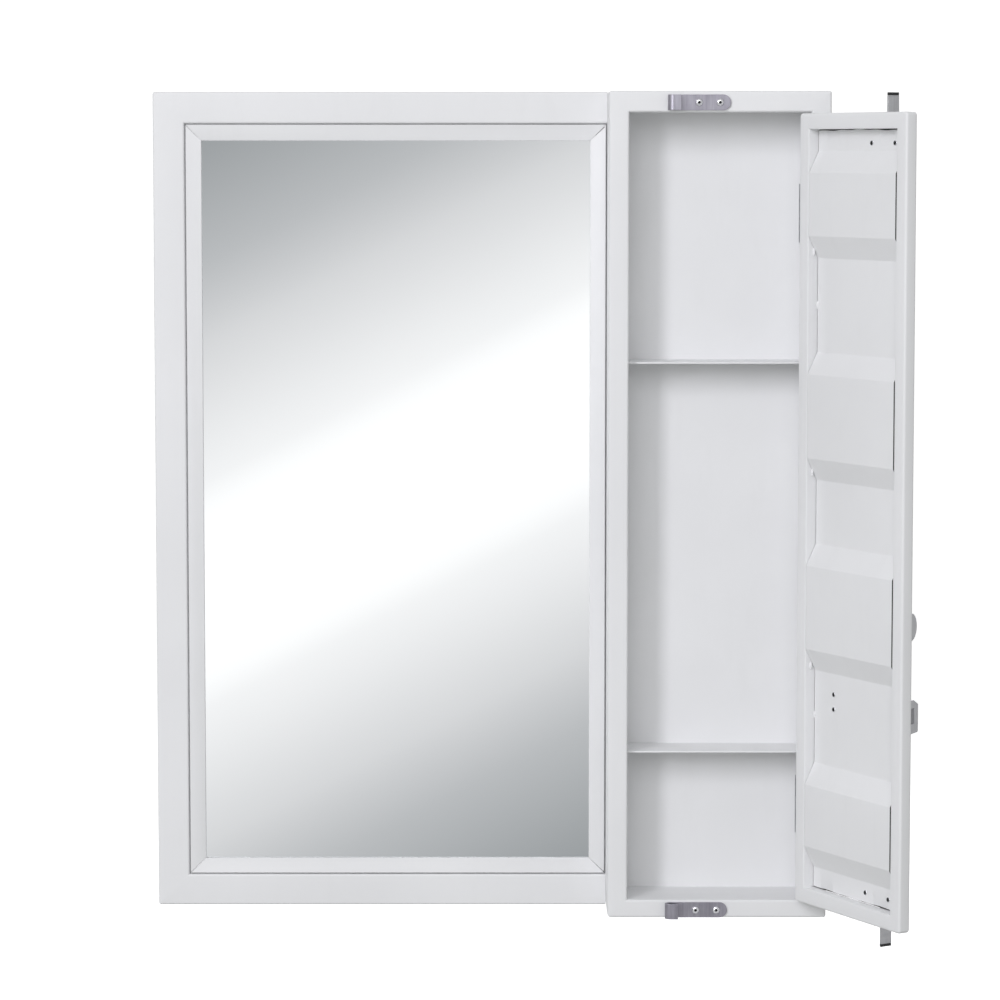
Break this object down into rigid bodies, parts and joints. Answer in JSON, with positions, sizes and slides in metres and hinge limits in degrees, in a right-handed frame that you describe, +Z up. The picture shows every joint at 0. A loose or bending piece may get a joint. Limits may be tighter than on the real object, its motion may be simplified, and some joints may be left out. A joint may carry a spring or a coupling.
{
  "type": "medicine cabinet with mirror",
  "caption": "Wall-hung steel medicine cabinet beside a framed mirror, with shelves and a hinged door that a full-height turning bar locks.",
  "frame": {"origin": "on the wall plane, midway between the entries of the two hanging keyholes", "axes": "+Z up, +Y into the wall, +X to the viewer's right, so the front faces -Y"},
  "size_m": [0.8427, 0.2653, 0.921],
  "materials": {
    "white_paint": "satin powder coat",
    "mirror_glass": "silvered",
    "backing_board": "pressed board",
    "black_seal": "matt",
    "black_plastic": "matt",
    "bush_plastic": "matt",
    "satin_steel": "satin",
    "bright_steel": "bright plated",
    "black_screw": "black oxide",
    "zinc_steel": "zinc plated"
  },
  "bodies": {
    "cabinet": {"frame_left_stile": "white_paint", "frame_top_rail": "white_paint", "frame_bottom_rail": "white_paint", "trim_left": "white_paint", "trim_right": "white_paint", "trim_top": "white_paint", "trim_bottom": "white_paint", "groove_seal": "black_seal", "glazing_tape": "black_seal", "mirror_glass": "mirror_glass", "mirror_backing": "backing_board", "retaining_clips": "zinc_steel", "clip_screws": "bright_steel", "joining_brackets": "zinc_steel", "joining_screws": "bright_steel", "hanger_plate_left": "zinc_steel", "hanger_plate_right": "zinc_steel", "cabinet_left_post": "white_paint", "cabinet_right_post": "white_paint", "cabinet_top_rail": "white_paint", "cabinet_bottom_rail": "white_paint", "back_panel": "white_paint", "upper_shelf": "white_paint", "lower_shelf": "white_paint", "keeper_top": "satin_steel", "keeper_bottom": "satin_steel", "keeper_screws": "bright_steel", "upper_frame_leaf": "zinc_steel", "lower_frame_leaf": "zinc_steel", "upper_hinge_pin": "bright_steel", "lower_hinge_pin": "bright_steel", "frame_leaf_screws": "bright_steel"},
    "door": {"door_hinge_stile": "white_paint", "door_free_stile": "white_paint", "door_top_rail": "white_paint", "door_bottom_rail": "white_paint", "door_panel": "white_paint", "upper_door_leaf": "zinc_steel", "lower_door_leaf": "zinc_steel", "door_leaf_screws": "bright_steel", "upper_bar_bracket": "zinc_steel", "lower_bar_bracket": "zinc_steel", "bar_bushes": "bush_plastic", "bracket_rivets": "bright_steel", "catch_plate": "zinc_steel", "catch_rivets": "bright_steel"},
    "locking_bar": {"locking_bar": "satin_steel", "bar_caps": "black_plastic", "bar_collars": "zinc_steel", "collar_screws": "black_screw", "handle_sleeve": "satin_steel", "hand_lever": "satin_steel", "latch_tongue": "satin_steel", "sleeve_screws": "black_screw"}
  },
  "joints": [
    {"name": "door_hinge", "type": "hinge", "parent": "cabinet", "child": "door", "pos_m": [0.3505, -0.08925, -0.402], "axis": [0, 0, 1], "range_deg": [-120, 50]},
    {"name": "bar_turn", "type": "hinge", "parent": "door", "child": "locking_bar", "pos_m": [0.42851, -0.20287, -0.402], "axis": [0, 0, -1], "range_deg": [-60, 60]}
  ]
}
